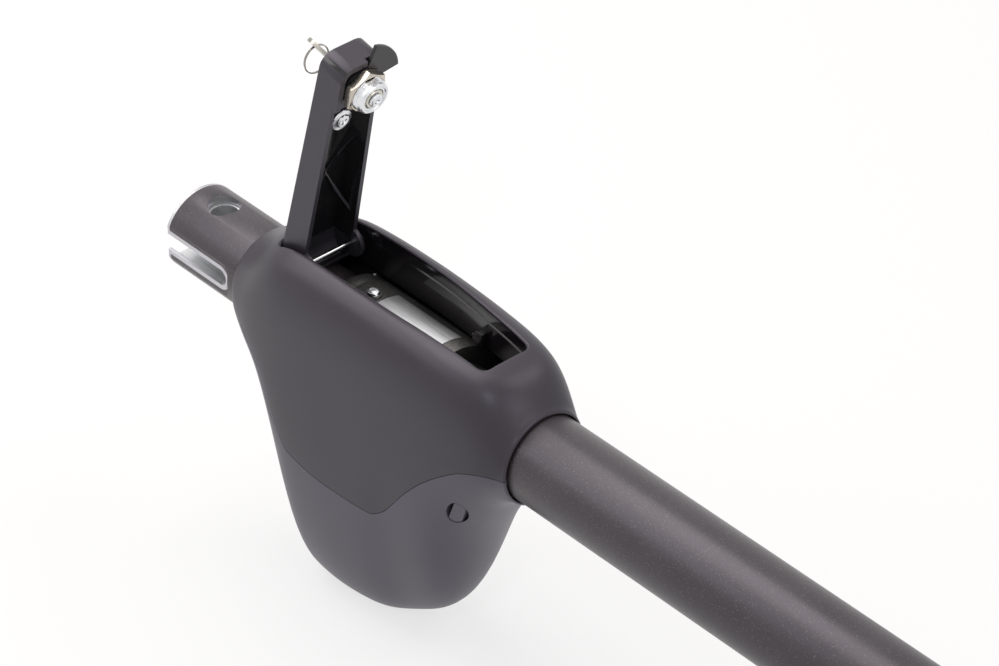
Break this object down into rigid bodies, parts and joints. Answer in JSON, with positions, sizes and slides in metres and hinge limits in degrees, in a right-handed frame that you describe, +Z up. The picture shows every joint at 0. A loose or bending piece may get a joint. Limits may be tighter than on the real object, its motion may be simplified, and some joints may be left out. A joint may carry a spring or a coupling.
{
  "type": "swing gate opener arm",
  "caption": "Electric swing-gate opener arm: slotted rear tube, motor housing with a hinged key-locked cover, and a screw-driven push rod in a drive tube.",
  "frame": {"origin": "rear pin axis on the tube's centre line", "axes": "+X along the arm to the rod's eye, +Z up along the pins, +Y to the far side of the picture"},
  "size_m": [0.729, 0.076, 0.3426],
  "materials": {
    "tube_coat": "dark powder coat with fine sparkle",
    "insert_alloy": "milled",
    "upper_plastic": "fine moulded texture, dark warm grey",
    "lower_plastic": "smooth moulded, grey",
    "black_plastic": "moulded, black",
    "lid_plastic": "satin outside, glossy black inside",
    "seal_rubber": "matt black",
    "case_alloy": "die cast",
    "plate_alloy": "thin brushed sheet, bare",
    "zinc_steel": "zinc plated",
    "bearing_steel": "ground",
    "motor_paint": "black paint",
    "laminations": "stacked sheets",
    "copper": "enamelled wire",
    "bronze": "turned",
    "screw_steel": "rolled thread",
    "rod_chrome": "polished",
    "nickel": "nickel plated",
    "key_steel": "stamped and plated",
    "latch_steel": "blackened sheet"
  },
  "bodies": {
    "arm": {"rear_tube": "tube_coat", "clevis_insert": "insert_alloy", "upper_shell": "upper_plastic", "lower_shell": "lower_plastic", "side_plugs": "black_plastic", "collar_seal": "seal_rubber", "cable_gland": "black_plastic", "gear_case": "case_alloy", "gear_case_cover": "case_alloy", "case_screw": "zinc_steel", "cover_screws": "zinc_steel", "case_plate": "plate_alloy", "rear_bearing": "bearing_steel", "front_bearing": "bearing_steel", "bearing_ring": "screw_steel", "motor_can": "motor_paint", "motor_plate": "case_alloy", "motor_bearings": "bearing_steel", "motor_screws": "zinc_steel", "stator_core": "laminations", "windings": "copper", "drive_tube": "tube_coat", "end_bush": "black_plastic", "rod_wiper": "seal_rubber", "hinge_pin": "bearing_steel"},
    "lid": {"lid": "lid_plastic", "lid_screw": "zinc_steel", "lock_barrel": "zinc_steel", "lock_nut": "nickel"},
    "tongue": {"latch_tongue": "latch_steel"},
    "plug": {"lock_plug": "bronze", "lock_end_screw": "zinc_steel", "key": "key_steel"},
    "ring": {"key_ring": "key_steel"},
    "rotor": {"rotor": "laminations", "motor_pinion": "screw_steel"},
    "screw": {"lead_screw": "screw_steel", "crown_gear": "bronze"},
    "rod": {"drive_nut": "bronze", "push_rod": "rod_chrome", "rod_end": "zinc_steel"}
  },
  "joints": [
    {"name": "lid_hinge", "type": "hinge", "parent": "arm", "child": "lid", "pos_m": [0.0883, 0, 0.0392], "axis": [0, 1, 0], "range_deg": [0, 78]},
    {"name": "tongue_turn", "type": "hinge", "parent": "lid", "child": "tongue", "pos_m": [0.11513, 0, 0.15924], "axis": [-0.9759, 0, 0.2181], "range_deg": [0, 131]},
    {"name": "key_turn", "type": "hinge", "parent": "lid", "child": "plug", "pos_m": [0.11513, 0, 0.15924], "axis": [-0.9759, 0, 0.2181], "range_deg": [0, 90]},
    {"name": "ring_swing", "type": "hinge", "parent": "plug", "child": "ring", "pos_m": [0.0826, 0, 0.16651], "axis": [0, 1, 0], "range_deg": [-40, 30]},
    {"name": "rotor_spin", "type": "hinge", "parent": "arm", "child": "rotor", "pos_m": [0.15, 0, -0.08], "axis": [0, 0, 1], "range_deg": [0, 27000]},
    {"name": "screw_spin", "type": "hinge", "parent": "arm", "child": "screw", "pos_m": [0.15, 0, 0], "axis": [1, 0, 0], "range_deg": [0, 9000]},
    {"name": "rod_slide", "type": "slide", "parent": "arm", "child": "rod", "axis": [1, 0, 0], "range_m": [0, 0.3]}
  ],
  "couplings": [
    {"joint": "tongue_turn", "follows": "lid_hinge", "ratio": 1.6794},
    {"joint": "screw_spin", "follows": "rod_slide", "rad_per_m": 523.6},
    {"joint": "rotor_spin", "follows": "rod_slide", "rad_per_m": 1570.8}
  ]
}
